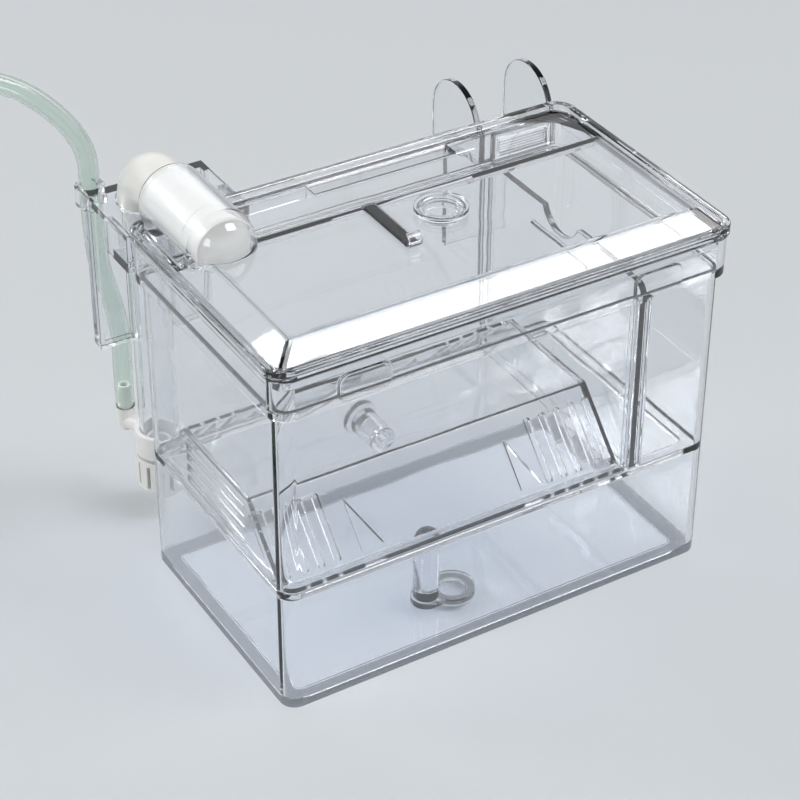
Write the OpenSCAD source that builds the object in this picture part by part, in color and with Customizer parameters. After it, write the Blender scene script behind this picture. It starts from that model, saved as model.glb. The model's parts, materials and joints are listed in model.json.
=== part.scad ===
// Hang-on fish breeding box, fed by an air lift.
// A clear moulded box hangs outside an aquarium by a hook and a return spout that cross the tank's rim.
// Water comes in through the white elbow, passes the slotted fry tray and leaves over the spout.
// X runs along the tank wall, Y runs towards the tank, Z is up, and the base stands on Z = 0.

/* [Box] */
// Length of the lid and rim along the tank wall
rim_l = 148; // [136:1:190]
// Depth of the lid and rim, away from the tank wall
rim_d = 88; // [84:1:120]
// Height of the chamber, from the fry ledge to the collar
chamber_h = 59.5; // [50:0.5:90]
// Height of the fry zone, from the base to the ledge
fry_h = 40; // [38:0.5:60]
// Height of the wide collar round the top
collar_h = 12.5; // [12:0.5:16]
// Wall thickness of the moulded box
wall = 2; // [1.8:0.1:2.2]
// Thickness of the floor
floor_t = 2.5; // [2:0.1:3.5]
// Corner radius of the lid and collar
corner_r = 6.5; // [5:0.5:9]
// How far the lid stands proud of the collar
lid_over = 0.8; // [0.6:0.1:1.2]
// How far the collar stands proud of the chamber
collar_step = 1.7; // [1.3:0.1:2]
// Width of the ledge that carries the tray
ledge_w = 4; // [3:0.5:5]
// Width of the flat ring that the box stands on
foot_w = 6.5; // [4:0.5:9]
// Depth of the recess inside that ring
foot_recess = 0.8; // [0.4:0.1:1]

/* [Lid] */
// Thickness of the lid's panels
lid_t = 1.8; // [1.4:0.1:2.2]
// Height of the raised edge of the lid
lid_edge_h = 3.5; // [2.6:0.1:5]
// Width of the raised edge of the lid
lid_edge_w = 2.4; // [1.8:0.1:3]
// Height of the raised panel above the lid's flat part
panel_up = 5.4; // [4:0.2:7]
// Run of the bevel round the raised panel
bevel = 6; // [3:0.5:7]
// Gap between the lid's edge and the foot of the bevel, at the front and sides
panel_in = 2.8; // [2.4:0.2:6]
// Width of the low strip along the back of the lid
panel_back = 25; // [22:0.5:30]
// Depth of the skirt that centres the lid in the collar
skirt_h = 4; // [2.5:0.5:4.5]
// Thickness of that skirt
skirt_t = 1.4; // [1.2:0.1:1.8]
// Length of the air slot in the low strip
air_slot_l = 47; // [30:1:60]
// Width of the air slot
air_slot_w = 5.4; // [5:0.2:7]
// Distance from the lid's left edge to the air slot
air_slot_x = 56; // [45:1:62]
// Distance from the lid's back edge to the air slot
air_slot_in = 4.4; // [3.2:0.2:6]
// Radius of the feeding hole
feed_r = 6.6; // [5.5:0.1:7.5]
// Distance from the lid's left edge to the feeding hole
feed_x = 77; // [60:1:84]
// Distance from the lid's front edge to the feeding hole
feed_y = 44; // [30:1:45]
// Length of the lifting tab beside the feeding hole
tab_l = 24; // [16:1:26]

/* [Air lift] */
// Outer radius of the elbow
elbow_r = 8.2; // [8:0.1:8.4]
// Outer radius of the lift tube
lift_r = 6.5; // [6:0.1:6.6]
// Wall of the lift tube
lift_wall = 1.2; // [1:0.1:1.5]
// Distance from the lid's left edge to the elbow's axis
pipe_x = 15.5; // [14.5:0.1:18]
// Distance from the lid's back edge to the lift tube's axis
pipe_back = 17; // [16.8:0.2:20]
// Height of the elbow's axis above the collar
pipe_up = 8.5; // [8.5:0.1:10]
// Radius of the elbow's bend
bend_r = 10; // [9:0.5:11]
// Length of the elbow inside the lid's tunnel
pipe_in = 24; // [16:1:26]
// Length of the flow nozzle
nozzle_l = 9; // [7:0.5:10]
// Height of the lift tube's foot above the base
lift_foot = 22; // [20:1:30]
// Length of the strainer cage
strainer_l = 19; // [14:1:19]
// Radius of the strainer cage
strainer_r = 8; // [7.8:0.1:9]
// Number of slots round the strainer
strainer_slots = 12; // [8:1:14]

/* [Hooks] */
// Width of the tank hook
hook_w = 38; // [34:1:40]
// Thickness of the hook's plates
hook_t = 2.3; // [2:0.1:2.6]
// Length of the hook's side plates over the tank's rim
gusset_l = 14; // [10:0.5:16]
// Width of each leg inside the tank
leg_w = 12.2; // [8:0.2:13]
// Depth of the rim round each leg
leg_rim = 2.4; // [1.5:0.1:2.5]
// Height of the legs' lower ends above the base
leg_foot = 60; // [50:1:75]

/* [Return spout] */
// Clear width between the spout's cheeks
spout_w = 24; // [22:0.5:26]
// Distance from the lid's right edge to the middle of the spout
spout_in = 17; // [15:0.5:18.5]
// Radius of the cheeks' round tops
cheek_r = 12.4; // [11:0.2:14]
// Thickness of the cheeks
cheek_t = 2; // [1.6:0.1:2.4]
// Room for the tank's rim under the spout
spout_gap = 20.5; // [16:0.5:24]
// Outer radius of the chute where it turns down
chute_r = 8; // [6:0.5:10]
// Width of the overflow window
window_w = 20; // [16:0.5:21]
// Height of the overflow window
window_h = 8.2; // [7:0.2:8.6]
// Number of slats in the overflow grille
slats = 5; // [3:1:6]
// Thickness of one slat
slat_t = 0.8; // [0.6:0.1:0.9]

/* [Divider] */
// Distance from the lid's right edge to the divider
divider_in = 29.5; // [29:0.5:33]
// Thickness of the divider
divider_t = 2; // [1.6:0.1:2.2]
// Height of the divider
divider_h = 63.5; // [45:0.5:64]
// Thickness of one guide rib
guide_t = 1.5; // [1.2:0.1:1.8]
// How far the guide ribs stand out of the walls
guide_p = 2.5; // [2:0.1:3]

/* [Fry tray] */
// Thickness of the tray
tray_t = 1.6; // [1.4:0.1:1.8]
// Height of the tray's sloped sides
tray_rise = 20; // [16:0.5:24]
// Run of the tray's sloped sides
tray_run = 17.5; // [14:0.5:20]
// Width of the flat flange along the foot of the slope
tray_foot = 2.6; // [2:0.1:3.5]
// Slots in the right group; the left group has one less
slots = 5; // [3:1:5]
// Distance from one slot to the next
slot_pitch = 5.1; // [4:0.1:5.2]
// Width of one slot
slot_w = 1.9; // [1.2:0.1:2.2]
// Length of one slot
slot_l = 18; // [12:0.5:18.5]
// Width of the triangular window beside each group
flap_w = 7; // [5:0.5:8]
// Height of the triangular window along the slope
flap_l = 15; // [12:0.5:17]

/* [Drain plug] */
// Radius of the plug's head
plug_r = 7; // [5.6:0.1:7.4]
// Radius of the drain hole
drain_r = 4.4; // [3.5:0.1:4.8]
// Distance from the lid's left edge to the plug
plug_x = 68; // [62:1:76]
// Distance from the lid's front edge to the plug
plug_y = 22; // [20:1:26]
// Distance from the plug to its post
post_off = 9; // [8:0.5:10]
// Radius of the post
post_r = 3.8; // [3:0.1:4.2]
// Height of the post above the base
post_h = 30; // [22:1:32]

/* [Level foot] */
// Radius of the foot's shaft
foot_shaft_r = 2.5; // [2:0.1:3]
// Length of the foot's shaft
foot_shaft_l = 12; // [9:0.5:15]
// Radius of the foot's pad
pad_r = 6; // [5:0.5:8]
// Height of the foot above the base
foot_z = 24; // [16:1:30]

/* [Airline hose] */
// Outer diameter of the hose
hose_d = 6; // [5.6:0.1:6.2]
// Mean radius of the coil
coil_r = 33; // [30:1:36]
// Distance from one turn of the coil to the next
coil_pitch = 7.2; // [7:0.1:9]

/* [Fits] */
// Radial clearance of sliding shafts and push fits
fit_r = 0.06; // [0.03:0.01:0.1]
// Clearance between parts that lift apart
play = 0.3; // [0.25:0.05:0.4]
// Clearance between parts that stay together
snug = 0.15; // [0.1:0.05:0.2]

/* [Hidden] */
$fn = 64;
eps = 0.01;
clear_plastic = [0.82, 0.87, 0.9, 0.45];
white_plastic = [0.95, 0.95, 0.94];

// Heights
z_ledge = fry_h;
z_collar = fry_h + chamber_h;
z_rim = z_collar + collar_h;
z_lid = z_rim + play;
z_flat = z_lid + lid_t;
z_panel = z_flat + panel_up;
z_seat = z_collar;
z_pipe = z_rim + pipe_up;
z_sill = z_seat + hook_t;
z_hook_top = z_rim - play;
z_elbow_foot = z_hook_top - hook_t;

// The hose runs down behind the hook's left leg.
hose_r = hose_d / 2;
lip_in = pipe_back + elbow_r + play;
lip_out = lip_in + hook_t;
hose_back = lip_out + hose_r + snug * 3;
clip_t = 1.3;
back_reach = hose_back + hose_r + snug + clip_t;

// Places: the part is centred on its own depth, from the lid's front edge to the hose clip.
y_back = (rim_d - back_reach) / 2;
y_front = y_back - rim_d;
y_mid = (y_back + y_front) / 2;
x_left = -rim_l / 2;
x_right = rim_l / 2;
x_spout = x_right - spout_in;
x_divider = x_right - divider_in;

// Outlines
body_in = lid_over + collar_step;
body_l = rim_l - 2 * body_in;
body_d = rim_d - 2 * body_in;
collar_l = rim_l - 2 * lid_over;
collar_d = rim_d - 2 * lid_over;
inner_l = body_l - 2 * wall;
inner_d = body_d - 2 * wall;
face_back = y_back - lid_over;
body_back = y_back - body_in;

// Axes of the hose in its clip, of the lift tube and of the nipple at the tube's foot
hose_x = x_left + 4.6;
hose_y = y_back + hose_back;
lift_x = x_left + pipe_x;
lift_y = y_back + pipe_back;
nipple_x = hose_x + 6;

// Outline and extrusion helpers
module round_rect(l, d, r) {
    square([l - 2 * r, d], center = true);
    square([l, d - 2 * r], center = true);
    for (sx = [-1, 1]) for (sy = [-1, 1])
        translate([sx * (l / 2 - r), sy * (d / 2 - r)]) circle(r);
}

module slab(l, d, r, z0, z1) {
    translate([0, y_mid, z0]) linear_extrude(z1 - z0) round_rect(l, d, r);
}

module block(x0, x1, y0, y1, z0, z1) {
    translate([x0, y0, z0]) cube([x1 - x0, y1 - y0, z1 - z0]);
}

// An outline in Y and Z, drawn out along X
module along_x(x0, x1) {
    translate([x0, 0, 0]) rotate([90, 0, 90]) linear_extrude(x1 - x0) children();
}

// An outline in X and Z, drawn out along Y
module along_y(y0, y1) {
    translate([0, y1, 0]) rotate([90, 0, 0]) linear_extrude(y1 - y0) children();
}

module tube(r_out, r_in, z0, z1) {
    translate([0, 0, z0]) difference() {
        cylinder(h = z1 - z0, r = r_out);
        translate([0, 0, -eps]) cylinder(h = z1 - z0 + 2 * eps, r = r_in);
    }
}

// A block whose four sides lean inwards by the same run
module hipped(x0, x1, y0, y1, z0, z1, run) {
    intersection() {
        along_y(y0, y1) polygon([[x0, z0], [x1, z0], [x1 - run, z1], [x0 + run, z1]]);
        along_x(x0, x1) polygon([[y0, z0], [y1, z0], [y1 - run, z1], [y0 + run, z1]]);
    }
}

// Box

window_x = x_spout + 0.5;

module overflow_cut(grow) {
    block(window_x - window_w / 2 + grow, window_x + window_w / 2 - grow, face_back - wall - eps,
        face_back + eps, z_sill + grow, z_sill + window_h - grow);
}

module guide_ribs() {
    reach = divider_t / 2 + play;
    for (s = [-1, 1]) {
        x0 = s > 0 ? x_divider + reach : x_divider - reach - guide_t;
        block(x0, x0 + guide_t, y_front + body_in + wall - eps, y_front + body_in + wall + guide_p,
            z_ledge - eps, z_collar);
        block(x0, x0 + guide_t, body_back - wall - guide_p, body_back - wall + eps,
            z_ledge - eps, z_collar);
    }
}

// Two lugs on the collar's front, which a thumb presses against when the lid is lifted
module thumb_lugs() {
    lug_w = 16;
    lug_h = 8.5;
    lug_r = 3;
    lug_in = 27;
    for (x = [lug_in, rim_l - lug_in])
        along_y(y_front, y_front + lid_over + eps)
            translate([x_left + x, z_rim - lug_h / 2 - 2.5]) round_rect(lug_w, lug_h, lug_r);
}

module box_body() color(clear_plastic) {
    difference() {
        union() {
            slab(body_l, body_d, corner_r - collar_step, 0, z_collar + wall);
            slab(collar_l, collar_d, corner_r - lid_over, z_collar, z_rim);
            thumb_lugs();
        }
        slab(body_l - 2 * foot_w, body_d - 2 * foot_w, 2, -eps, foot_recess);
        slab(inner_l, inner_d, corner_r - collar_step - wall, floor_t, z_ledge - wall);
        slab(inner_l - 2 * ledge_w, inner_d - 2 * ledge_w, 2, z_ledge - wall - eps, z_ledge + eps);
        slab(inner_l, inner_d, corner_r - collar_step - wall, z_ledge, z_rim);
        slab(collar_l - 2 * wall, collar_d - 2 * wall, corner_r - lid_over - wall, z_collar + wall,
            z_rim + eps);
        overflow_cut(0);
        translate([lift_x, face_back - wall - 1, z_pipe]) rotate([-90, 0, 0])
            cylinder(h = wall + 2, r = elbow_r + play);
        translate([x_left + plug_x, y_front + plug_y, -eps]) cylinder(h = floor_t + 2 * eps, r = drain_r);
        translate([0, body_back + eps, foot_z]) rotate([90, 0, 0]) cylinder(h = wall + 1, r = foot_shaft_r + 0.5);
    }
    guide_ribs();
    foot_boss();
}

// Blind boss in the back wall, which the level foot's shaft slides in
foot_bore = foot_shaft_l + 0.5;
module foot_boss() {
    boss_r = foot_shaft_r + 2;
    translate([0, body_back, foot_z]) rotate([90, 0, 0]) difference() {
        cylinder(h = foot_bore + 1.5, r = boss_r);
        translate([0, 0, -eps]) cylinder(h = foot_bore, r = foot_shaft_r + fit_r);
    }
}

// Slatted insert that keeps fry out of the spout; a flange inside the collar stops it
module overflow_grille() color(clear_plastic) {
    rim_w = 1.4;
    flange_t = 1.2;
    x0 = window_x - window_w / 2;
    x1 = window_x + window_w / 2;
    z1 = z_sill + window_h;
    step = (window_h - 2 * rim_w) / (slats + 1);
    difference() {
        union() {
            overflow_cut(snug);
            intersection() {
                block(x0 - rim_w, x1 + rim_w, face_back - wall - flange_t, face_back - wall,
                    z_sill - snug, z1 + rim_w);
                slab(collar_l - 2 * wall, collar_d - 2 * wall, corner_r - lid_over - wall + snug, z_collar, z_rim);
            }
        }
        block(x0 + rim_w, x1 - rim_w, face_back - wall - flange_t - 1, face_back + 1,
            z_sill + rim_w, z1 - rim_w);
    }
    for (i = [1:slats])
        block(x0 + rim_w - eps, x1 - rim_w + eps, face_back - wall, face_back - snug,
            z_sill + rim_w + i * step - slat_t / 2, z_sill + rim_w + i * step + slat_t / 2);
}

// Chute over the tank's rim, between two cheeks with round tops
module chute_outline() {
    y1 = y_back + spout_gap + hook_t;
    difference() {
        union() {
            translate([face_back, z_seat]) square([y1 - chute_r - face_back, hook_t]);
            translate([y1 - hook_t, leg_foot]) square([hook_t, z_seat + hook_t - chute_r - leg_foot]);
            intersection() {
                translate([y1 - chute_r, z_seat + hook_t - chute_r]) circle(chute_r);
                translate([y1 - chute_r, z_seat + hook_t - chute_r]) square(chute_r + 1);
            }
        }
        translate([y1 - chute_r, z_seat + hook_t - chute_r]) circle(chute_r - hook_t);
    }
}

module cheek_outline() {
    y_c = y_back + cheek_r + 0.6;
    z_c = z_rim - 1.5;
    translate([y_c, z_c]) circle(cheek_r);
    translate([y_c - cheek_r, z_seat]) square([2 * cheek_r, z_c - z_seat]);
    translate([face_back, z_seat]) square([cheek_r, z_rim - z_seat - play]);
}

module return_spout() color(clear_plastic) {
    x0 = x_spout - spout_w / 2;
    x1 = x_spout + spout_w / 2;
    along_x(x0 - eps, x1 + eps) chute_outline();
    for (x = [x0 - cheek_t, x1]) along_x(x, x + cheek_t) cheek_outline();
}

// One leg of the hook: a plate with a rim round it, open towards the tank's wall
module hook_leg(x0) {
    rim_w = 1.5;
    difference() {
        block(x0, x0 + leg_w, y_back + lip_in - leg_rim, y_back + lip_out, leg_foot, z_hook_top);
        block(x0 + rim_w, x0 + leg_w - rim_w, y_back + lip_in - leg_rim - 1, y_back + lip_in,
            leg_foot + rim_w, z_hook_top - hook_t);
    }
}

// Hook over the tank's rim; its legs hang inside the tank behind the lift tube
module tank_hook() color(clear_plastic) {
    x0 = x_left + lid_over;
    x1 = x0 + hook_w;
    hole_r = elbow_r + play;
    clip_h = 6;
    clip_r = hose_r + snug;
    difference() {
        union() {
            block(x0, x1, face_back, y_back + lip_out, z_elbow_foot, z_hook_top);
            block(x0, x1, face_back, lift_y - lift_r - play, z_seat, z_seat + hook_t);
            for (x = [x0, x1 - hook_t])
                block(x, x + hook_t, face_back, face_back + gusset_l, z_seat, z_hook_top);
            for (x = [x0, x1 - leg_w]) hook_leg(x);
            block(x0, hose_x + clip_r, y_back + lip_out - eps, hose_y, z_hook_top - clip_h, z_hook_top);
            translate([hose_x, hose_y, z_hook_top - clip_h]) cylinder(h = clip_h, r = clip_r + clip_t);
        }
        for (dy = [0, -1]) translate([lift_x, lift_y + dy, z_elbow_foot - 1]) cylinder(h = hook_t + 2, r = hole_r);
        translate([hose_x, hose_y, z_hook_top - clip_h - 1]) cylinder(h = clip_h + 2, r = clip_r);
        block(hose_x - clip_r * 0.8, hose_x + clip_r * 0.8, hose_y, hose_y + clip_r + clip_t + 1,
            z_hook_top - clip_h - 1, z_hook_top + 1);
    }
}

// Foot that slides in the boss and keeps the chamber upright against the tank's wall
module level_foot() color(clear_plastic) {
    y0 = body_back + play;
    translate([0, y0, foot_z]) rotate([-90, 0, 0]) {
        translate([0, 0, -foot_shaft_l]) cylinder(h = foot_shaft_l + eps, r = foot_shaft_r);
        cylinder(h = 0.8, r1 = pad_r - 0.8, r2 = pad_r);
        translate([0, 0, 0.8 - eps]) cylinder(h = 0.5, r = pad_r);
    }
}

// Air lift

// Quarter bend from the lift tube's axis to the horizontal leg
module bend(r) {
    translate([lift_x, lift_y - bend_r, z_pipe - bend_r]) rotate([0, -90, 0])
        rotate_extrude(angle = 90) translate([bend_r, 0]) circle(r);
}

module elbow_run(r, z0, y0) {
    bend(r);
    translate([lift_x, lift_y, z0]) cylinder(h = z_pipe - bend_r - z0, r = r);
    translate([lift_x, lift_y - bend_r, z_pipe]) rotate([90, 0, 0]) cylinder(h = lift_y - bend_r - y0, r = r);
}

spigot_r = lift_r - lift_wall - fit_r;
spigot_l = 6;
bore_r = spigot_r - 1.2;
y_mouth = y_back - pipe_in;
module elbow() color(white_plastic) {
    difference() {
        union() {
            elbow_run(elbow_r, z_elbow_foot, y_mouth);
            translate([lift_x, lift_y, z_elbow_foot - spigot_l]) cylinder(h = spigot_l + 1, r = spigot_r);
        }
        elbow_run(bore_r, z_elbow_foot - spigot_l - 1, y_mouth - 1);
        translate([lift_x, y_mouth + spigot_l, z_pipe]) rotate([90, 0, 0])
            cylinder(h = spigot_l + 1, r = spigot_r + fit_r);
    }
}

// Closed end with a mouth underneath, which turns the flow down into the chamber
module flow_nozzle() color(white_plastic) {
    mouth = 5.6;
    face_t = 1.6;
    translate([lift_x, y_mouth, z_pipe]) rotate([90, 0, 0]) difference() {
        union() {
            cylinder(h = nozzle_l, r = elbow_r);
            translate([0, 0, -spigot_l + play]) cylinder(h = spigot_l, r = spigot_r);
        }
        translate([0, 0, -spigot_l]) cylinder(h = spigot_l + nozzle_l - face_t, r = bore_r);
        translate([-mouth / 2, -elbow_r - 1, nozzle_l - face_t - mouth])
            cube([mouth, elbow_r + 1, mouth]);
    }
}

module lift_tube() color(clear_plastic) {
    translate([lift_x, lift_y, 0]) tube(lift_r, lift_r - lift_wall, lift_foot, z_elbow_foot);
}

// Saddle on the foot of the lift tube, with a nipple that points up to the hose
saddle_h = 8;
saddle_z = lift_foot + 1;
nipple_l = 8;
nipple_base = saddle_z + saddle_h + 1;
module air_barb() color(white_plastic) {
    reach = norm([nipple_x - lift_x, hose_y - lift_y]);
    aim = atan2(hose_y - lift_y, nipple_x - lift_x);
    saddle_t = 1.5;
    arm_z = saddle_z + saddle_h / 2;
    arm_r = 2.6;
    stem_r = 2.8;
    nipple_r = 1.9;
    bore = 1.2;
    difference() {
        union() {
            translate([lift_x, lift_y, 0]) tube(lift_r + saddle_t, lift_r + fit_r, saddle_z, saddle_z + saddle_h);
            translate([lift_x, lift_y, arm_z]) rotate([0, 90, aim])
                translate([0, 0, lift_r + saddle_t / 2]) cylinder(h = reach - lift_r - saddle_t / 2, r = arm_r);
            translate([nipple_x, hose_y, arm_z - arm_r]) cylinder(h = nipple_base - arm_z + arm_r, r = stem_r);
            translate([nipple_x, hose_y, nipple_base - eps]) cylinder(h = nipple_l, r = nipple_r);
        }
        translate([nipple_x, hose_y, arm_z]) cylinder(h = nipple_base + nipple_l, r = bore);
    }
}

// Slotted cage that pulls off the foot of the lift tube
module intake_strainer() color(white_plastic) {
    z0 = lift_foot - strainer_l + 6;
    slot_h = strainer_l - 9;
    translate([lift_x, lift_y, 0]) difference() {
        union() {
            translate([0, 0, z0 + 2]) cylinder(h = strainer_l - 8 - play, r = strainer_r);
            translate([0, 0, z0]) cylinder(h = 3, r1 = strainer_r - 2, r2 = strainer_r);
        }
        translate([0, 0, z0 + 1.4]) cylinder(h = strainer_l, r = bore_r);
        for (i = [0:strainer_slots - 1]) rotate([0, 0, i * 360 / strainer_slots])
            block(2, strainer_r + 1, -0.6, 0.6, z0 + 3, z0 + 1 + slot_h);
    }
    translate([lift_x, lift_y, 0])
        tube(spigot_r, bore_r, lift_foot - 3, lift_foot + 5);
}

// Lid and what is on it

tunnel_r = elbow_r + 2 * play;
tunnel_out = tunnel_r + 1.3;
tunnel_l = pipe_in + nozzle_l + 6;

// Round-topped tunnel over the pipe, with a domed front end
module tunnel(r, z0) {
    y0 = y_back - tunnel_l + tunnel_out;
    along_y(y0, y_back + eps) {
        translate([lift_x, z_pipe]) circle(r);
        translate([lift_x - r, z0]) square([2 * r, z_pipe - z0]);
    }
    translate([lift_x, y0, z0]) cylinder(h = z_pipe - z0, r = r);
    translate([lift_x, y0, z_pipe]) sphere(r);
}

module lid_shell() {
    slab(rim_l, rim_d, corner_r, z_lid, z_flat);
    difference() {
        slab(rim_l, rim_d, corner_r, z_lid, z_lid + lid_edge_h);
        slab(rim_l - 2 * lid_edge_w, rim_d - 2 * lid_edge_w, corner_r - lid_edge_w, z_lid - eps,
            z_lid + lid_edge_h + eps);
    }
    hipped(x_left + panel_in, -x_left - panel_in, y_front + panel_in, y_back - panel_back,
        z_flat - eps, z_panel, bevel);
    intersection() {
        tunnel(tunnel_out, z_lid);
        slab(rim_l, rim_d, corner_r, z_lid, z_pipe + tunnel_out + 1);
    }
    difference() {
        slab(collar_l - 2 * wall - 2 * play, collar_d - 2 * wall - 2 * play, corner_r - lid_over - wall - play,
            z_lid - skirt_h, z_lid + eps);
        slab(collar_l - 2 * wall - 2 * play - 2 * skirt_t, collar_d - 2 * wall - 2 * play - 2 * skirt_t, 1,
            z_lid - skirt_h - 1, z_lid + 1);
        block(x_spout - spout_w / 2 - 4, x_right, face_back - wall - 3, y_back, z_lid - skirt_h - 1,
            z_lid - eps);
    }
}

module lid() color(clear_plastic) {
    t = lid_t;
    hollow_in = panel_in + t;
    difference() {
        lid_shell();
        hipped(x_left + hollow_in, -x_left - hollow_in, y_front + hollow_in, y_back - panel_back - t,
            z_lid - eps, z_panel - t, bevel * (z_panel - t - z_lid) / panel_up);
        tunnel(tunnel_r, z_lid - skirt_h - 1);
        block(x_left + air_slot_x, x_left + air_slot_x + air_slot_l, y_back - air_slot_in - air_slot_w,
            y_back - air_slot_in, z_lid - skirt_h, z_flat + eps);
        translate([x_left + feed_x, y_front + feed_y, z_lid]) cylinder(h = panel_up + 5, r = feed_r);
    }
}

// Dished plug in the feeding hole
module feed_plug() color(clear_plastic) {
    translate([x_left + feed_x, y_front + feed_y, z_panel + play]) difference() {
        union() {
            cylinder(h = 1.4, r = feed_r + 1.2);
            translate([0, 0, -lid_t - play - 1]) cylinder(h = lid_t + play + 1 + eps, r = feed_r - play);
        }
        translate([0, 0, 0.2]) cylinder(h = 2, r = feed_r - 1);
        translate([0, 0, -lid_t - play - 2]) cylinder(h = lid_t + play + 1.2, r = feed_r - 1.6);
    }
}

// Strap on the panel beside the feeding hole, with its front end turned up for a finger
module lift_tab() color(clear_plastic) {
    w = 4;
    t = 1;
    curl_r = 2.2;
    x0 = x_left + feed_x - feed_r - 12;
    y1 = y_back - panel_back - bevel - 1;
    block(x0, x0 + w, y1 - tab_l, y1, z_panel, z_panel + t);
    along_x(x0, x0 + w) translate([y1 - tab_l, z_panel + curl_r]) intersection() {
        difference() {
            circle(curl_r);
            circle(curl_r - t);
        }
        translate([-curl_r - 1, -curl_r - 1]) square([curl_r + 1, 2 * curl_r + 2]);
    }
}

// Inside

// Plate that slides in the guide ribs and parts off the overflow chamber
module chamber_divider() color(clear_plastic) {
    gap = play;
    y0 = y_front + body_in + wall + gap;
    y1 = body_back - wall - gap;
    x0 = x_divider - divider_t / 2;
    z0 = z_ledge + play;
    r = 4;
    notch_r = 9;
    bar_l = 28;
    bar_t = 1.4;
    bar_out = 0.6;
    along_x(x0, x0 + divider_t) difference() {
        union() {
            translate([y0, z0]) square([y1 - y0, divider_h - r]);
            translate([y0 + r, z0]) square([y1 - y0 - 2 * r, divider_h]);
            for (y = [y0 + r, y1 - r]) translate([y, z0 + divider_h - r]) circle(r);
        }
        translate([y_mid, z0 + divider_h + notch_r / 3]) circle(notch_r);
    }
    along_x(x0 - bar_out, x0 + divider_t + bar_out)
        translate([y_mid - bar_l / 2, z0 + divider_h - notch_r - bar_t / 2]) square([bar_l, bar_t]);
}

// Fry tray: a raised deck between two sloped, slotted sides
tray_x0 = x_left + body_in + wall + play;
tray_x1 = x_divider - divider_t / 2 - play - guide_t - play * 2;
tray_y0 = y_front + body_in + wall + play;
tray_y1 = body_back - wall - play;
tray_z = z_ledge + play;
slope = atan2(tray_rise - tray_t, tray_run);

module tray_outline(outer) {
    y_top = tray_foot + tray_run;
    back = tray_y1 - tray_y0;
    dx = tray_t / sin(slope) - tray_t / tan(slope);
    points = outer
        ? [[0, 0], [0, tray_t], [tray_foot, tray_t], [y_top, tray_rise],
           [back - y_top, tray_rise], [back - tray_foot, tray_t], [back, tray_t], [back, 0]]
        : [[tray_foot + dx, -eps], [y_top + dx, tray_rise - tray_t], [back - y_top - dx, tray_rise - tray_t],
           [back - tray_foot - dx, -eps]];
    translate([tray_y0, tray_z]) polygon(points);
}

// Places a cutter on the front slope, with Y up the slope and Z square to it
module on_slope(x) {
    translate([x, tray_y0 + tray_foot, tray_z + tray_t]) rotate([slope, 0, 0]) children();
}

module slot_cut() {
    r = slot_w / 2;
    low = 2.2;
    translate([0, low, -4]) linear_extrude(8) {
        translate([-r, 0]) square([slot_w, slot_l]);
        circle(r);
        translate([0, slot_l]) circle(r);
    }
}

module slope_cuts() {
    inset = 2.2;
    for (i = [0:slots - 2]) on_slope(tray_x0 + inset + i * slot_pitch) slot_cut();
    for (i = [0:slots - 1]) on_slope(tray_x1 - inset - i * slot_pitch) slot_cut();
    last = inset + (slots - 1) * slot_pitch + slot_w / 2 + 1.6;
    for (x = [tray_x0 + last, tray_x1 - last - flap_w])
        on_slope(x) translate([0, 2, -4]) linear_extrude(8) polygon([[0, 0], [flap_w, 0], [0, flap_l]]);
}

module fry_tray() color(clear_plastic) {
    end_slots = 4;
    difference() {
        intersection() {
            along_x(tray_x0, tray_x1) tray_outline(true);
            slab(inner_l - 2 * play, inner_d - 2 * play, corner_r - collar_step - wall, tray_z, tray_z + tray_rise);
        }
        along_x(tray_x0 + tray_t, tray_x1 - tray_t) tray_outline(false);
        slope_cuts();
        translate([0, 2 * y_mid, 0]) mirror([0, 1, 0]) slope_cuts();
        for (i = [0:end_slots - 1])
            block(tray_x0 - 1, tray_x0 + tray_t + 1, y_mid - 17, y_mid + 17,
                tray_z + 3 + i * 3.8, tray_z + 3 + i * 3.8 + slot_w);
    }
}

// Plug for the hole in the floor; an ear carries the post that a finger lifts it by
module drain_plug() color(clear_plastic) {
    x = x_left + plug_x;
    y = y_front + plug_y;
    z0 = floor_t + play + 0.8;
    ear_r = post_r + 0.8;
    translate([x, y, z0]) {
        cylinder(h = 2, r = plug_r);
        translate([-post_off, 0, 0]) cylinder(h = 2, r = ear_r);
        translate([-post_off, -ear_r, 0]) cube([post_off, 2 * ear_r, 2]);
    }
    translate([x, y, z0 - 2.6]) cylinder(h = 2.6 + eps, r = drain_r - play);
}

module plug_post() color(clear_plastic) {
    z0 = floor_t + play + 2.8;
    translate([x_left + plug_x - post_off, y_front + plug_y, z0]) {
        cylinder(h = post_h - post_r - z0, r = post_r);
        translate([0, 0, post_h - post_r - z0]) intersection() {
            sphere(post_r);
            cylinder(h = post_r + 1, r = post_r + 1);
        }
    }
}

module plug_seal() color("dimgray") {
    translate([x_left + plug_x, y_front + plug_y, 0])
        tube(plug_r - 0.2, drain_r - play + snug, floor_t + play, floor_t + play + 0.8);
}

// Airline hose: up from the nipple, through the clip, over in an arch and down to the surface

hose_points = [
    [nipple_x, hose_y, nipple_base], [nipple_x, hose_y, 44], [nipple_x, hose_y, 56],
    [nipple_x - 2, hose_y, 70], [hose_x + 1, hose_y, 84], [hose_x, hose_y, 98],
    [hose_x, hose_y, z_hook_top], [-70, 58, 123], [-75, 61, 133], [-84, 65, 142],
    [-95, 69, 147], [-107, 73, 148], [-118, 76, 146], [-129, 78, 140], [-138, 79, 130],
    [-144, 79, 116], [-148, 78, 100], [-150, 76, 83], [-151, 74, 66], [-152, 71, 49],
    [-153, 67, 32], [-153, 59, 17], [-153, 48, 7], [-153, 36, 3.6], [-153, 26, 3.1], [-153, 16, 3.1]
];
hose_sides = 12;

function unit(v) = v / norm(v);
function path_dir(p, i) = unit(p[min(i + 1, len(p) - 1)] - p[max(i - 1, 0)]);
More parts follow.
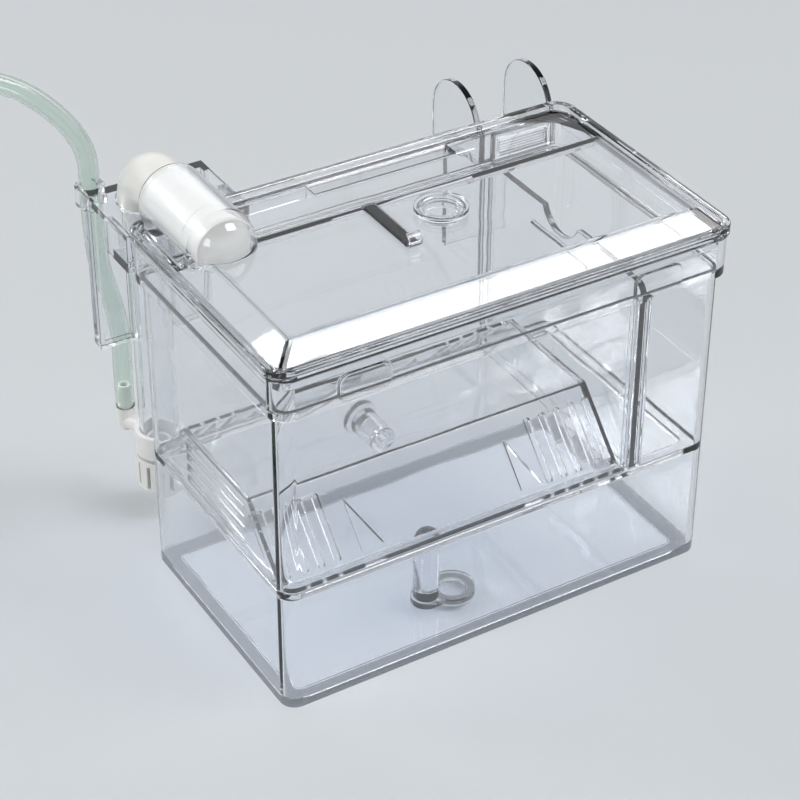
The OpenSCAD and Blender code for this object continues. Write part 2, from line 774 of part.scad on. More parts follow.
// Carries one sideways direction along a path, so that the tube does not twist
function carried(p, i, side) = let (d = path_dir(p, i)) unit(side - d * (side * d));
function sides_of(p, i = 0, acc = []) = i == len(p) ? acc
    : sides_of(p, i + 1, concat(acc, [carried(p, i, i == 0 ? [1, 0.02, 0.01] : acc[i - 1])]));

module swept(p, r, n) {
    side = sides_of(p);
    rings = len(p);
    points = [for (i = [0:rings - 1]) let (d = path_dir(p, i), u = side[i], v = cross(d, u))
        for (k = [0:n - 1]) p[i] + r * (cos(k * 360 / n) * u + sin(k * 360 / n) * v)];
    walls = [for (i = [0:rings - 2]) for (k = [0:n - 1]) let (a = i * n + k, b = i * n + (k + 1) % n)
        each [[a, b, b + n], [a, b + n, a + n]]];
    first = [for (k = [1:n - 2]) [0, k + 1, k]];
    last = [for (k = [1:n - 2]) [(rings - 1) * n, (rings - 1) * n + k, (rings - 1) * n + k + 1]];
    polyhedron(points = points, faces = [for (f = concat(walls, first, last)) [f[0], f[2], f[1]]]);
}

module airline_hose() color([0.75, 0.85, 0.8, 0.5]) swept(hose_points, hose_r, hose_sides);

// Coil: one tube that winds inwards on the surface, climbs in half a turn and winds out on top
coil_turns = 3;
coil_steps = 24;
coil_lift = hose_d + 0.9;
inward = coil_turns / 2;
coil_start = hose_points[len(hose_points) - 1];
coil_x = coil_start[0] - coil_r - coil_pitch * inward / 2;
coil_y = coil_start[1] - hose_d;
function climb(t) = let (u = min(max(t - inward + 0.25, 0), 0.5)) (1 - cos(u * 360)) / 2;
function coil_reach(t) = coil_r + coil_pitch * (t < inward ? inward / 2 - t : t - inward * 3 / 2);
function coil_point(t) = [coil_x + coil_reach(t) * cos(t * 360), coil_y - coil_reach(t) * sin(t * 360),
    coil_start[2] + coil_lift * climb(t)];
coil_path = concat([coil_start], [for (i = [0:coil_turns * coil_steps]) coil_point(i / coil_steps)],
    [coil_point(coil_turns) - [0, hose_d, 0]]);
whole_path = concat(hose_points, coil_path);
near = [for (i = [0:len(whole_path) - 1]) for (j = [i + 8:1:len(whole_path) - 1])
    norm(whole_path[i] - whole_path[j])];
function length(p, i = 0, acc = 0) = i == len(p) - 1 ? acc : length(p, i + 1, acc + norm(p[i + 1] - p[i]));
echo(least_gap = min(near) - hose_d, hose_length = length(hose_points), coil_length = length(coil_path));
module hose_coil() color([0.75, 0.85, 0.8, 0.5]) swept(coil_path, hose_r, 6);

box_body();
overflow_grille();
return_spout();
tank_hook();
level_foot();
elbow();
flow_nozzle();
lift_tube();
air_barb();
intake_strainer();
lid();
feed_plug();
lift_tab();
chamber_divider();
fry_tray();
drain_plug();
plug_post();
plug_seal();
airline_hose();
hose_coil();
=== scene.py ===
"""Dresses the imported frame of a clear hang-on fish breeding box.

Each operator makes one piece, or one group of like pieces, around the solids of the frame.
"""
import json
import math

import bmesh
import bpy
from bpy.props import FloatProperty, FloatVectorProperty, IntProperty, PointerProperty
from mathutils import Matrix, Vector
from mathutils.bvhtree import BVHTree


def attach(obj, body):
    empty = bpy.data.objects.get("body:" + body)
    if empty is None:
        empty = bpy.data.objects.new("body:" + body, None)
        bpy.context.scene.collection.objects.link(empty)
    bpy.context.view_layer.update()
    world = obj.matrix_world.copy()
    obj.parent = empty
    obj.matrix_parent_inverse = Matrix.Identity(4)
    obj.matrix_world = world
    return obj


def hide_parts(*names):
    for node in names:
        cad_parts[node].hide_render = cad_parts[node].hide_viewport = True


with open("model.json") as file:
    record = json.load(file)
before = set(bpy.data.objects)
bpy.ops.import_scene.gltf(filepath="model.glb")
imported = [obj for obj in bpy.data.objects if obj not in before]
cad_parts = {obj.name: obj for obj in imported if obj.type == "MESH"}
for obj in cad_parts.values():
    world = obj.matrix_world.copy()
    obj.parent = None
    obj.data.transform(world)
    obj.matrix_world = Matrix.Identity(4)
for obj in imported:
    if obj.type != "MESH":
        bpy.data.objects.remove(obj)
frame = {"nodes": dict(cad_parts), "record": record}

bl_info = {
    "name": "Hang-on breeding box",
    "version": (1, 0, 0),
    "blender": (4, 5, 0),
    "location": "3D View > Sidebar > Breeding box",
    "description": "Makes the looks of a clear hang-on fish breeding box around its packed frame",
    "category": "Object",
}

MM = 0.001

bpy.context.view_layer.update()


def linear(text):
    """An sRGB hex value as a linear colour with an alpha of 1."""
    parts = [int(text[i:i + 2], 16) / 255 for i in (1, 3, 5)]
    return tuple(c / 12.92 if c <= 0.04045 else ((c + 0.055) / 1.055) ** 2.4 for c in parts) + (1.0,)


def colour(text, name, description):
    """A colour setting, given as an sRGB hex value."""
    return FloatVectorProperty(name=name, description=description, subtype="COLOR", size=4, min=0, max=1,
                               default=linear(text))


def length(value_mm, name, description):
    """A length setting, given in millimetres."""
    return FloatProperty(name=name, description=description, default=value_mm * MM, min=0, unit="LENGTH",
                         subtype="DISTANCE", precision=5)


# Settings


class PlasticSettings(bpy.types.PropertyGroup):
    """Colours and finishes of the mouldings, the hose and the seal."""

    clear_tint: colour("#FBFCFD", "Clear tint", "Colour of the clear polystyrene's surface")
    clear_depth: colour("#B7B6C9", "Clear depth", "Colour that light takes on inside thick clear plastic")
    clear_density: FloatProperty(name="Clear density", description="How fast clear plastic colours light, per metre",
                                 default=14.0, min=0)
    white: colour("#F3F2EE", "White", "Colour of the air lift's white plastic")
    white_shade: colour("#E9E8E3", "White shade", "Darker tone of the white plastic's faint mottling")
    hose_tint: colour("#F1F8F3", "Hose tint", "Colour of the hose's surface")
    hose_depth: colour("#7FA88F", "Hose depth", "Colour that light takes on inside the hose's wall")
    hose_density: FloatProperty(name="Hose density", description="How fast the hose colours light, per metre",
                                default=55.0, min=0)
    seal: colour("#E4E6E4", "Seal", "Colour of the soft seal under the drain plug")
    seal_shade: colour("#D2D5D3", "Seal shade", "Darker tone of the seal's mottling")
    tie: colour("#EDEDEA", "Tie", "Colour of the tie round the coil")
    tie_shade: colour("#D9D9D5", "Tie shade", "Darker tone of the tie's film")
    lamp_pass: colour("#F4F5F7", "Lamp pass", "Share of a lamp's light that each clear surface lets through")


class EdgeSettings(bpy.types.PropertyGroup):
    """Radii that the moulds leave on edges."""

    thick: length(0.45, "Thick edges", "Edge radius on the box")
    lid: length(0.6, "Lid edges", "Edge radius on the lid")
    thin: length(0.3, "Thin edges", "Edge radius on plates and the tray")
    fine: length(0.16, "Fine edges", "Edge radius on slats, slots and small pieces")
    segments: IntProperty(name="Segments", description="Steps in a rounded edge", default=3, min=1, max=6)


class HoseSettings(bpy.types.PropertyGroup):
    """Sizes of the airline hose."""

    diameter: length(6.0, "Outer diameter", "Outer diameter of the hose")
    bore: length(4.0, "Bore", "Inner diameter of the hose")
    sides: IntProperty(name="Sides", description="Faces round the hose", default=24, min=8, max=64)


class CameraSettings(bpy.types.PropertyGroup):
    """The photograph's viewing angle."""

    azimuth: FloatProperty(name="Azimuth", description="Angle round the box", default=math.radians(-32.42),
                           subtype="ANGLE")
    elevation: FloatProperty(name="Elevation", description="Angle above the floor", default=math.radians(34.24),
                             subtype="ANGLE")
    roll: FloatProperty(name="Roll", description="Tilt of the picture", default=math.radians(0.89), subtype="ANGLE")
    distance: length(685.3, "Distance", "From the camera to the point it aims at")
    aim: FloatVectorProperty(name="Aim", description="The point the camera aims at", default=(0, -0.02485, 0.0716),
                             subtype="TRANSLATION")
    shift: FloatVectorProperty(name="Shift", description="Sideways and upward shift of the picture",
                               default=(-0.0539, -0.0401), size=2)
    lens: FloatProperty(name="Lens", description="Focal length in millimetres", default=107.7, min=10)
    sensor: FloatProperty(name="Sensor", description="Sensor width in millimetres", default=36.0, min=1)


class BoxSettings(bpy.types.PropertyGroup):
    """All the settings of the breeding box."""

    plastic: PointerProperty(type=PlasticSettings)
    edges: PointerProperty(type=EdgeSettings)
    hose: PointerProperty(type=HoseSettings)
    camera: PointerProperty(type=CameraSettings)


def settings():
    """The scene's settings of the breeding box."""
    return bpy.context.scene.breeding_box


# Materials


def add(tree, kind, sockets=(), **values):
    """Adds a node with its settings. A socket takes a value, or another node's output to link."""
    node = tree.nodes.new(kind)
    for key, value in values.items():
        setattr(node, key, value)
    for key, value in dict(sockets).items():
        if isinstance(value, bpy.types.NodeSocket):
            tree.links.new(value, node.inputs[key])
        else:
            node.inputs[key].default_value = value
    return node


def blank(name):
    """An empty material and its output node."""
    material = bpy.data.materials.new(name)
    material.use_nodes = True
    material.node_tree.nodes.clear()
    return material, material.node_tree, add(material.node_tree, "ShaderNodeOutputMaterial")


def per_metre(size_mm):
    """The scale of a pattern whose marks are this size."""
    return 1 / (size_mm * MM)


# Sizes of the marks in clear plastic, in millimetres
FLOW_WAVE = 26
FLOW_WAVE_DEPTH = 0.5
POLISH_MARK = 5


def clear_moulding(name, tint, depth, density, ior, haze):
    """Clear plastic: glossy and see-through, with a depth of colour, and open to lamps."""
    material, tree, out = blank(name)
    place = add(tree, "ShaderNodeTexCoord").outputs["Object"]
    swell = add(tree, "ShaderNodeTexNoise", {"Vector": place, "Scale": per_metre(FLOW_WAVE), "Detail": 1.0,
                                             "Roughness": 0.4})
    polish = add(tree, "ShaderNodeTexNoise", {"Vector": place, "Scale": per_metre(POLISH_MARK), "Detail": 3.0,
                                              "Roughness": 0.6})
    rough = add(tree, "ShaderNodeMapRange", {"Value": polish.outputs["Fac"], "From Min": 0.35, "From Max": 0.7,
                                             "To Min": haze, "To Max": haze * 3})
    bump = add(tree, "ShaderNodeBump", {"Height": swell.outputs["Fac"], "Strength": 0.5,
                                       "Distance": FLOW_WAVE_DEPTH * MM})
    glass = add(tree, "ShaderNodeBsdfPrincipled", {
        "Base Color": tint, "Transmission Weight": 1.0, "IOR": ior, "Roughness": rough.outputs["Result"],
        "Normal": bump.outputs["Normal"]})
    path = add(tree, "ShaderNodeLightPath")
    lamp = add(tree, "ShaderNodeBsdfTransparent", {"Color": settings().plastic.lamp_pass})
    mix = add(tree, "ShaderNodeMixShader", {0: path.outputs["Is Shadow Ray"], 1: glass.outputs["BSDF"],
                                            2: lamp.outputs["BSDF"]})
    fog = add(tree, "ShaderNodeVolumeAbsorption", {"Color": depth, "Density": density})
    tree.links.new(mix.outputs["Shader"], out.inputs["Surface"])
    tree.links.new(fog.outputs["Volume"], out.inputs["Volume"])
    return material


def crystal_polystyrene():
    """General-purpose polystyrene, injection moulded and polished.

    It gives the eye a bright gloss, faint flow waves and cool thick edges.
    """
    p = settings().plastic
    return clear_moulding("crystal_polystyrene", p.clear_tint, p.clear_depth, p.clear_density, ior=1.59,
                          haze=0.012)


def flexible_pvc():
    """Plasticised PVC, extruded: softer gloss than the box and a faint green in its wall."""
    p = settings().plastic
    return clear_moulding("flexible_pvc", p.hose_tint, p.hose_depth, p.hose_density, ior=1.53, haze=0.05)


def solid_moulding(name, light, shade, mark_mm, rough_range, peel_mm, peel_depth_mm, ior):
    """Opaque moulded plastic or rubber with faint mottling and a fine skin."""
    material, tree, out = blank(name)
    place = add(tree, "ShaderNodeTexCoord").outputs["Object"]
    mottle = add(tree, "ShaderNodeTexNoise", {"Vector": place, "Scale": per_metre(mark_mm), "Detail": 2.0})
    tone = add(tree, "ShaderNodeMix", data_type="RGBA")
    tree.links.new(mottle.outputs["Fac"], tone.inputs[0])
    tone.inputs[6].default_value = light
    tone.inputs[7].default_value = shade
    rough = add(tree, "ShaderNodeMapRange", {"Value": mottle.outputs["Fac"], "To Min": rough_range[0],
                                             "To Max": rough_range[1]})
    peel = add(tree, "ShaderNodeTexNoise", {"Vector": place, "Scale": per_metre(peel_mm), "Detail": 1.0})
    bump = add(tree, "ShaderNodeBump", {"Height": peel.outputs["Fac"], "Strength": 0.3,
                                        "Distance": peel_depth_mm * MM})
    body = add(tree, "ShaderNodeBsdfPrincipled", {
        "Base Color": tone.outputs[2], "Roughness": rough.outputs["Result"], "IOR": ior,
        "Normal": bump.outputs["Normal"]})
    tree.links.new(body.outputs["BSDF"], out.inputs["Surface"])
    return material


def white_abs():
    """White ABS, moulded in a polished tool: even white, soft highlights and slight orange peel."""
    p = settings().plastic
    return solid_moulding("glossy_abs", p.white, p.white_shade, mark_mm=9, rough_range=(0.16, 0.26), peel_mm=1.2,
                          peel_depth_mm=0.02, ior=1.54)


def silicone_rubber():
    """Silicone rubber, pressed: pale, soft and nearly matt."""
    p = settings().plastic
    return solid_moulding("silicone_rubber", p.seal, p.seal_shade, mark_mm=4, rough_range=(0.45, 0.6), peel_mm=0.8,
                          peel_depth_mm=0.02, ior=1.42)


def coated_tie():
    """Plastic-coated wire tie: dull white film over a thin core."""
    p = settings().plastic
    return solid_moulding("coated_tie", p.tie, p.tie_shade, mark_mm=5, rough_range=(0.4, 0.55), peel_mm=1.0,
                          peel_depth_mm=0.04, ior=1.5)


FINISHES = {
    "clear_styrene": ("crystal_polystyrene", crystal_polystyrene),
    "white_abs": ("glossy_abs", white_abs),
    "soft_pvc": ("flexible_pvc", flexible_pvc),
    "soft_seal": ("silicone_rubber", silicone_rubber),
}


def finish_of(slot):
    """The material of a record slot, made once."""
    name, make = FINISHES[slot]
    return bpy.data.materials.get(name) or make()


# Shapes


def body_of(node):
    """The body that a node belongs to."""
    groups = frame["record"]["behaviour"]["bodies"]
    return next(body for body, nodes in groups.items() if node in nodes)


def slot_of(node):
    """The record slot that a node takes its finish from."""
    return next(s["material_slot"] for s in frame["record"]["subparts"] if s["node"] == node)


def new_piece(name, mesh, body, slot, replaced=(), finish=None):
    """An object that shows a mesh, rides on a body and takes its finish from a record slot, or one of its own."""
    piece = bpy.data.objects.new(name, mesh)
    bpy.context.scene.collection.objects.link(piece)
    mesh.materials.clear()
    mesh.materials.append(finish or finish_of(slot))
    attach(piece, body)
    if replaced:
        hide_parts(*replaced)
    return piece


# Corners of the solids closer than this are one
WELD = 0.015 * MM
# Faces that turn less than this are one, and edges that turn more than SHARP are rounded
FLAT = math.radians(0.4)
SHARP = math.radians(28)
# Fullness of a rounded edge, where 0.5 is a quarter circle
ROUNDNESS = 0.6
# A rounded corner farther than this share of its radius from the solid goes back to it
STRAY = 0.75


def moulded(node, radius):
    """A node's solid with its sharp edges rounded as the mould leaves them."""
    shape = bmesh.new()
    shape.from_mesh(frame["nodes"][node].data)
    bmesh.ops.remove_doubles(shape, verts=shape.verts, dist=WELD)
    bmesh.ops.dissolve_limit(shape, angle_limit=FLAT, verts=shape.verts, edges=shape.edges)
    bmesh.ops.triangulate(shape, faces=[f for f in shape.faces if len(f.verts) > 4])
    skin = BVHTree.FromBMesh(shape)
    sharp = [e for e in shape.edges if len(e.link_faces) == 2 and e.calc_face_angle() > SHARP]
    bmesh.ops.bevel(shape, geom=sharp, offset=radius, offset_type="OFFSET", segments=settings().edges.segments,
                    profile=ROUNDNESS, affect="EDGES", clamp_overlap=False, loop_slide=False)
    for corner in shape.verts:
        near, _, _, gap = skin.find_nearest(corner.co)
        if gap > STRAY * radius:
            corner.co = near
    bmesh.ops.recalc_face_normals(shape, faces=shape.faces)
    mesh = bpy.data.meshes.new(node + "_moulded")
    for face in shape.faces:
        face.smooth = True
    shape.to_mesh(mesh)
    shape.free()
    piece = new_piece(node + "_moulded", mesh, body_of(node), slot_of(node), [node])
    piece.modifiers.new("Even normals", "WEIGHTED_NORMAL").keep_sharp = True
    return piece


def smooth_path(points, steps):
    """Points of a smooth curve through the given ones."""
    line = []
    ends = [points[0] * 2 - points[1]] + points + [points[-1] * 2 - points[-2]]
    for i in range(1, len(ends) - 2):
        a, b, c, d = ends[i - 1:i + 3]
        for k in range(steps):
            t = k / steps
            line.append(0.5 * (2 * b + (c - a) * t + (2 * a - 5 * b + 4 * c - d) * t ** 2
                               + (3 * b - a - 3 * c + d) * t ** 3))
    return line + [points[-1]]


def frames_along(line):
    """A point, and two directions across it, for each point of a line, without twist."""
    side = Vector((1, 0.02, 0.01))
    placed = []
    for i, point in enumerate(line):
        along = (line[min(i + 1, len(line) - 1)] - line[max(i - 1, 0)]).normalized()
        side = (side - along * side.dot(along)).normalized()
        placed.append((point, side, along.cross(side)))
    return placed


def pipe_mesh(name, line, outer, inner, sides):
    """A hollow tube along a line, with flat ring ends."""
    shape = bmesh.new()
    walls = []
    for radius in (outer, inner):
        walls.append([[shape.verts.new(p + radius * (math.cos(a) * u + math.sin(a) * v))
                       for a in (k * 2 * math.pi / sides for k in range(sides))]
                      for p, u, v in frames_along(line)])
    for wall, turn in zip(walls, (1, -1)):
        for first, second in zip(wall, wall[1:]):
            for k in range(sides):
                n = (k + 1) % sides
                shape.faces.new([first[k], first[n], second[n], second[k]][::turn]).smooth = True
    for end, turn in ((0, -1), (-1, 1)):
        for k in range(sides):
            n = (k + 1) % sides
            shape.faces.new([walls[0][end][k], walls[0][end][n], walls[1][end][n], walls[1][end][k]][::turn])
    mesh = bpy.data.meshes.new(name)
    shape.to_mesh(mesh)
    shape.free()
    return mesh


# Operators


class BREEDING_OT_camera(bpy.types.Operator):
    """Places the camera at the photograph's viewing angle"""

    bl_idname = "breeding.camera"
    bl_label = "Place camera"

    def execute(self, context):
        s = settings().camera
        a, e = s.azimuth, s.elevation
        back = Vector((math.sin(a) * math.cos(e), -math.cos(a) * math.cos(e), math.sin(e)))
        right = Vector((math.cos(a), math.sin(a), 0))
        up = back.cross(right)
        tilted = math.cos(s.roll) * right + math.sin(s.roll) * up
        upright = back.cross(tilted)
        data = bpy.data.cameras.new("camera")
        camera = bpy.data.objects.new("camera", data)
        context.scene.collection.objects.link(camera)
        turn = Matrix((tilted, upright, back)).transposed().to_4x4()
        camera.matrix_world = Matrix.Translation(Vector(s.aim) + s.distance * back) @ turn
        data.sensor_width = s.sensor
        data.lens = s.lens
        data.shift_x, data.shift_y = s.shift
        data.clip_start = 10 * MM
        context.scene.camera = camera
        return {"FINISHED"}


# The hose's middle line in millimetres: nipple, clip, arch, and down to where it lies
HOSE_ROUTE = (
    (-63.4, 57.4, 32), (-63.4, 57.4, 44), (-63.4, 57.4, 56), (-65.4, 57.4, 70), (-68.4, 57.4, 84),
    (-69.4, 57.4, 98), (-69.4, 57.4, 111.7), (-70, 58, 123), (-75, 61, 133), (-84, 65, 142), (-95, 69, 147),
    (-107, 73, 148), (-118, 76, 146), (-129, 78, 140), (-138, 79, 130), (-144, 79, 116), (-148, 78, 100),
    (-150, 76, 83), (-151, 74, 66), (-152, 71, 49), (-153, 67, 32), (-153, 59, 17), (-153, 48, 7),
    (-153, 36, 3.6), (-153, 26, 3.1), (-153, 16, 3.1),
)
# The coil in millimetres and turns
HOSE_LYING = 3.1
HOSE_STEPS = 5
COIL_MIDDLE = (-191.4, 10.0)
COIL_RADIUS = 33.0
COIL_PITCH = 7.2
COIL_LIFT = 6.9
COIL_INWARD = 1.5
COIL_TURNS = 3
COIL_STEPS = 48
COIL_END = 6


def coil_point(t):
    """A point of the coil after t turns: inwards below, a climb in half a turn, outwards on top."""
    climb = (1 - math.cos(min(max(t - COIL_INWARD + 0.25, 0), 0.5) * 2 * math.pi)) / 2
    shift = COIL_INWARD / 2 - t if t < COIL_INWARD else t - COIL_INWARD * 1.5
    reach = COIL_RADIUS + COIL_PITCH * shift
    turn = t * 2 * math.pi
    return Vector((COIL_MIDDLE[0] + reach * math.cos(turn), COIL_MIDDLE[1] - reach * math.sin(turn),
                   HOSE_LYING + COIL_LIFT * climb))


# The tie in millimetres, and where round the coil it sits, in turns
TIE_TURN = 0.9
TIE_WIDTH = 3.6
TIE_THICKNESS = 0.5
TIE_PRESS = 0.1
TIE_FLOOR = 0.02
# The film's cross-section: shares of its width, and of its thickness inwards
TIE_SECTION = ((-0.5, 0.7), (-0.3, 0), (0.3, 0), (0.5, 0.7), (0.5, 0.9), (-0.5, 0.9))
# The twisted ends: length, wire and core radii, spacing, turns, and where they part
TAIL_LENGTH = 15.0
TAIL_WIRE = 0.55
TAIL_CORE = 0.2
TAIL_SPACING = 0.75
TAIL_TURNS = 3.2
TAIL_PART = 0.82
TAIL_STEPS = 24


def hull(points):
    """The convex outline of points in a plane, anticlockwise."""
    sides = []
    for order in (sorted(points), sorted(points, reverse=True)):
        side = []
        for p in order:
            while len(side) > 1 and ((side[-1][0] - side[-2][0]) * (p[1] - side[-2][1])
                                     <= (side[-1][1] - side[-2][1]) * (p[0] - side[-2][0])):
                side.pop()
            side.append(p)
        sides += side[:-1]
    return sides


def tie_tail(start, outward, along, half):
    """One of the tie's two ends, as a line that winds round the other."""
    up = Vector((0, 0, 1))
    line = []
    for k in range(TAIL_STEPS + 1):
        f = k / TAIL_STEPS
        spin = half + f * TAIL_TURNS * 2 * math.pi
        spread = TAIL_SPACING + max(f - TAIL_PART, 0) * 6
        lean = outward * (0.35 + 0.5 * f) * TAIL_LENGTH * f + up * TAIL_LENGTH * 0.45 * f * (1 - 0.6 * f)
        line.append((start + lean + (along * math.cos(spin) + up * math.sin(spin)) * spread) * MM)
    return line


def coil_tie(hose_radius):
    """A coated wire tie drawn round the coil's strands, with its two ends twisted together."""
    strands = [coil_point(turn + TIE_TURN) for turn in range(COIL_TURNS)]
    angle = TIE_TURN * 2 * math.pi
    outward = Vector((math.cos(angle), -math.sin(angle), 0))
    along = Vector((outward.y, -outward.x, 0))
    middle = Vector((*COIL_MIDDLE, 0))
    reach = hose_radius + TIE_THICKNESS - TIE_PRESS
    outer = hull([((s - middle).dot(outward) + reach * math.cos(a), s.z + reach * math.sin(a))
                  for s in strands for a in (k * math.pi / 12 for k in range(24))])
    centre = Vector((sum(p[0] for p in outer), sum(p[1] for p in outer))) / len(outer)
    shape = bmesh.new()
    loops = []
    for across, inward in TIE_SECTION:
        loops.append([])
        for p in outer:
            inwards = (centre - Vector(p)).normalized() * TIE_THICKNESS * inward
            spot = middle + outward * (p[0] + inwards.x) + along * (across * TIE_WIDTH)
            spot.z = max(p[1] + inwards.y, TIE_FLOOR)
            loops[-1].append(shape.verts.new(spot * MM))
    for first, second in zip(loops, loops[1:] + loops[:1]):
        for k in range(len(outer)):
            n = (k + 1) % len(outer)
            shape.faces.new([first[k], first[n], second[n], second[k]]).smooth = True
    bmesh.ops.recalc_face_normals(shape, faces=shape.faces)
    top = max(outer, key=lambda p: p[1] + 0.4 * p[0])
    start = middle + outward * (top[0] - 0.6) + Vector((0, 0, top[1] - 0.4))
    for half in (0, math.pi):
        tail = pipe_mesh("tail", tie_tail(start, outward, along, half), TAIL_WIRE * MM, TAIL_CORE * MM, 10)
        shape.from_mesh(tail)
        bpy.data.meshes.remove(tail)
    mesh = bpy.data.meshes.new("coil_tie")
    shape.to_mesh(mesh)
    shape.free()
    return mesh


class BREEDING_OT_hose(bpy.types.Operator):
    """Lays the airline hose from the nipple through the clip to its coil"""

    bl_idname = "breeding.hose"
    bl_label = "Make airline hose"

    def execute(self, context):
        s = settings().hose
        free = smooth_path([Vector(p) for p in HOSE_ROUTE], HOSE_STEPS)
        coil = [coil_point(i / COIL_STEPS) for i in range(COIL_TURNS * COIL_STEPS + 1)]
        end = coil[-1] - Vector((0, COIL_END, 0))
        line = [p * MM for p in free + coil + [(coil[-1] + end) / 2, end]]
        mesh = pipe_mesh("airline_hose_tube", line, s.diameter / 2, s.bore / 2, s.sides)
        hose = new_piece("airline_hose_tube", mesh, "box", "soft_pvc", ["airline_hose", "hose_coil"])
        tie = new_piece("coil_tie", coil_tie(s.diameter / 2 / MM), "box", "soft_pvc", finish=coated_tie())
        return {"FINISHED"}


class BREEDING_OT_box(bpy.types.Operator):
    """Makes the clear box with its collar, ledge, ribs and foot ring"""

    bl_idname = "breeding.box"
    bl_label = "Make box"

    def execute(self, context):
        moulded("box_body", settings().edges.thick)
        return {"FINISHED"}


class BREEDING_OT_lid(bpy.types.Operator):
    """Makes the lid with its bevelled panel and tunnel, its tab and the feeding plug"""

    bl_idname = "breeding.lid"
    bl_label = "Make lid"

    def execute(self, context):
        e = settings().edges
        moulded("lid", e.lid)
        moulded("lift_tab", e.fine)
        moulded("feed_plug", e.fine)
        return {"FINISHED"}


class BREEDING_OT_hangers(bpy.types.Operator):
    """Makes the tank hook, the return spout, its grille and the level foot"""

    bl_idname = "breeding.hangers"
    bl_label = "Make hook and spout"

    def execute(self, context):
        e = settings().edges
        moulded("tank_hook", e.thin)
        moulded("return_spout", e.thin)
        moulded("overflow_grille", e.fine)
        moulded("level_foot", e.fine)
        return {"FINISHED"}


class BREEDING_OT_air_lift(bpy.types.Operator):
    """Makes the elbow, nozzle, riser, nipple and strainer of the air lift"""

    bl_idname = "breeding.air_lift"
    bl_label = "Make air lift"

    def execute(self, context):
        e = settings().edges
        moulded("elbow", e.thin)
        moulded("flow_nozzle", e.thin)
        moulded("lift_tube", e.fine)
        moulded("air_barb", e.fine)
        moulded("intake_strainer", e.fine)
        return {"FINISHED"}


class BREEDING_OT_inside(bpy.types.Operator):
    """Makes the fry tray, the divider and the drain plug with its post and seal"""

    bl_idname = "breeding.inside"
    bl_label = "Make tray, divider and plug"

    def execute(self, context):
        e = settings().edges
        moulded("fry_tray", e.thin)
        moulded("chamber_divider", e.thin)
        moulded("drain_plug", e.fine)
        moulded("plug_post", e.thin)
        moulded("plug_seal", e.fine)
        return {"FINISHED"}


# Enough for light to pass every clear wall in a row
BOUNCES = 32
FLOOR_HALF = 4.0
# Name, place, two sides' directions, size in metres, and power. The key lamp shows all over the panel's front bevel,
# and the rim lamp's end shows on the left bevel beside the front corner. The side lamp is tilted upwards and reaches
# the box at an angle.
LAMPS = (
    ("key", (0.761, -0.530, 1.476), (0.8797, 0.2467, -0.4066), (0, 0.8549, 0.5188), (0.85, 0.6), 11.0),
    ("rim", (-0.924, 0.883, 0.853), (0.6523, 0, 0.7580), (0.5596, 0.6744, -0.4816), (0.5, 0.4), 6.5),
    ("side", (-1.25, -0.5, 0.7), (0.3714, -0.9285, 0), (-0.4, -0.17, 0.9), (0.4, 0.8), 3.0),
)
CARD_LEVEL = 0.68
CEILING_LEVEL = 0.2
EVEN_LIGHT = 0.5


class BREEDING_OT_stage(bpy.types.Operator):
    """Sets the pale floor, the soft lamps and the studio's light"""

    bl_idname = "breeding.stage"
    bl_label = "Set stage"

    def execute(self, context):
        scene = context.scene
        scene.view_settings.view_transform = "Standard"
        scene.cycles.max_bounces = BOUNCES
        scene.cycles.transmission_bounces = BOUNCES
        scene.cycles.transparent_max_bounces = BOUNCES
        floor_mesh = bpy.data.meshes.new("floor")
        corners = [(x * FLOOR_HALF, y * FLOOR_HALF, 0) for x, y in ((-1, -1), (1, -1), (1, 1), (-1, 1))]
        floor_mesh.from_pydata(corners, [], [(0, 1, 2, 3)])
        floor = bpy.data.objects.new("floor", floor_mesh)
        scene.collection.objects.link(floor)
        floor_mesh.materials.append(studio_floor())
        for lamp in LAMPS:
            soft_box(*lamp)
        studio_world(scene)
        return {"FINISHED"}


def seen_directly(tree):
    """1 for rays from the camera, a gloss or a clear piece, and 0 for light that spreads."""
    path = add(tree, "ShaderNodeLightPath")
    shine = add(tree, "ShaderNodeMath", {0: path.outputs["Is Glossy Ray"], 1: path.outputs["Is Transmission Ray"]},
                operation="MAXIMUM")
    return add(tree, "ShaderNodeMath", {0: path.outputs["Is Camera Ray"], 1: shine.outputs[0]},
               operation="MAXIMUM").outputs[0]


def studio_floor():
    """Matt card in a pale cool grey, so that white plastic and highlights on the clear box stand out."""
    material, tree, out = blank("pale_card")
    place = add(tree, "ShaderNodeTexCoord").outputs["Object"]
    fibre = add(tree, "ShaderNodeTexNoise", {"Vector": place, "Scale": per_metre(3), "Detail": 2.0})
    bump = add(tree, "ShaderNodeBump", {"Height": fibre.outputs["Fac"], "Strength": 0.05, "Distance": 0.1 * MM})
    card = add(tree, "ShaderNodeBsdfDiffuse", {"Color": linear("#D3D7DA"), "Normal": bump.outputs["Normal"]})
    tree.links.new(card.outputs["BSDF"], out.inputs["Surface"])
    return material


def soft_box(name, place, across, upward, size, power):
    """A rectangular lamp with its two sides along the given directions, shining against their cross product."""
    data = bpy.data.lights.new(name, "AREA")
    data.shape = "RECTANGLE"
    data.size, data.size_y = size
    data.energy = power
    lamp = bpy.data.objects.new(name, data)
    bpy.context.scene.collection.objects.link(lamp)
    x = Vector(across).normalized()
    y = (Vector(upward) - x * x.dot(Vector(upward))).normalized()
    lamp.matrix_world = Matrix.Translation(place) @ Matrix((x, y, x.cross(y))).transposed().to_4x4()


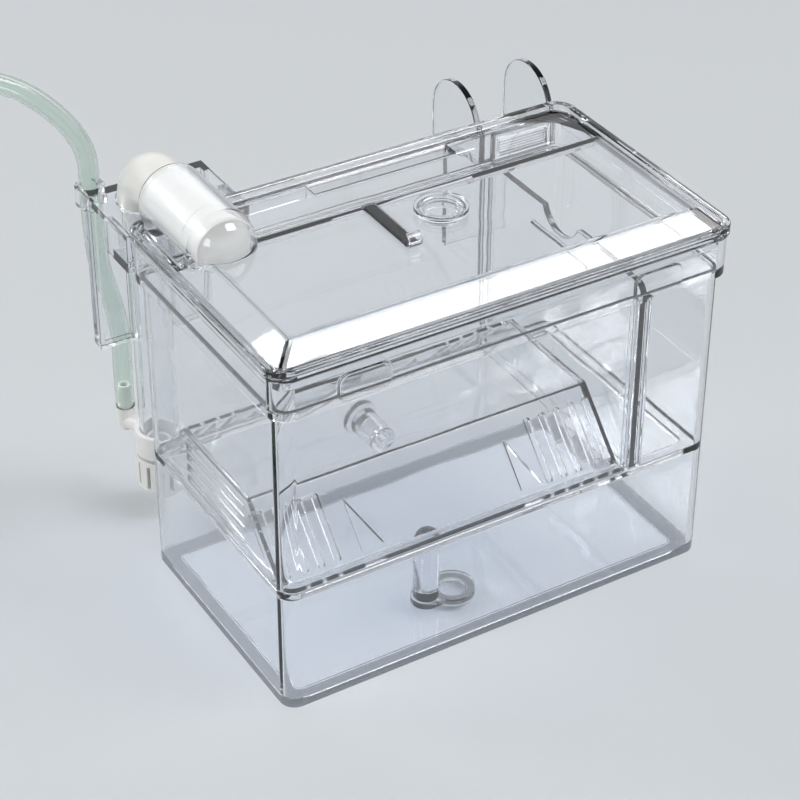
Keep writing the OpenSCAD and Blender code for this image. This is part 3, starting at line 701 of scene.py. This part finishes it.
def studio_world(scene):
    """What the camera, gloss and clear pieces see: the card's grey at the horizon, a bright band, a darker ceiling.

    Every other ray gets an even white light.
    """
    world = bpy.data.worlds.new("studio")
    scene.world = world
    world.use_nodes = True
    tree = world.node_tree
    tree.nodes.clear()
    out = add(tree, "ShaderNodeOutputWorld")
    way = add(tree, "ShaderNodeTexCoord").outputs["Generated"]
    height = add(tree, "ShaderNodeSeparateXYZ", {0: way}).outputs["Z"]
    rise = add(tree, "ShaderNodeMapRange", {"Value": height, "From Min": 0.02, "From Max": 0.25,
                                            "To Min": CARD_LEVEL, "To Max": 1.0}, interpolation_type="SMOOTHSTEP")
    fade = add(tree, "ShaderNodeMapRange", {"Value": height, "From Min": 0.42, "From Max": 0.85, "To Min": 1.0,
                                            "To Max": CEILING_LEVEL}, interpolation_type="SMOOTHSTEP")
    level = add(tree, "ShaderNodeMath", {0: rise.outputs["Result"], 1: fade.outputs["Result"]}, operation="MULTIPLY")
    room = add(tree, "ShaderNodeBackground", {"Color": linear("#FAFCFF"), "Strength": level.outputs[0]})
    even = add(tree, "ShaderNodeBackground", {"Color": linear("#FFFFFF"), "Strength": EVEN_LIGHT})
    mix = add(tree, "ShaderNodeMixShader", {0: seen_directly(tree), 1: even.outputs["Background"],
                                            2: room.outputs["Background"]})
    tree.links.new(mix.outputs["Shader"], out.inputs["Surface"])


OPERATORS = (BREEDING_OT_camera, BREEDING_OT_hose, BREEDING_OT_box, BREEDING_OT_lid, BREEDING_OT_hangers,
             BREEDING_OT_air_lift, BREEDING_OT_inside, BREEDING_OT_stage)


class BREEDING_PT_panel(bpy.types.Panel):
    """Lists the pieces of the breeding box"""

    bl_idname = "BREEDING_PT_panel"
    bl_label = "Breeding box"
    bl_space_type = "VIEW_3D"
    bl_region_type = "UI"
    bl_category = "Breeding box"

    def draw(self, context):
        for kind in OPERATORS:
            self.layout.operator(kind.bl_idname)


CLASSES = (PlasticSettings, EdgeSettings, HoseSettings, CameraSettings, BoxSettings) + OPERATORS + (
    BREEDING_PT_panel,)


def register():
    for kind in CLASSES:
        bpy.utils.register_class(kind)
    bpy.types.Scene.breeding_box = PointerProperty(type=BoxSettings)


def unregister():
    del bpy.types.Scene.breeding_box
    for kind in reversed(CLASSES):
        bpy.utils.unregister_class(kind)


def main():
    register()
    for kind in OPERATORS:
        group, name = kind.bl_idname.split(".")
        getattr(getattr(bpy.ops, group), name)()
    bpy.context.view_layer.update()


if __name__ == "__main__":
    main()
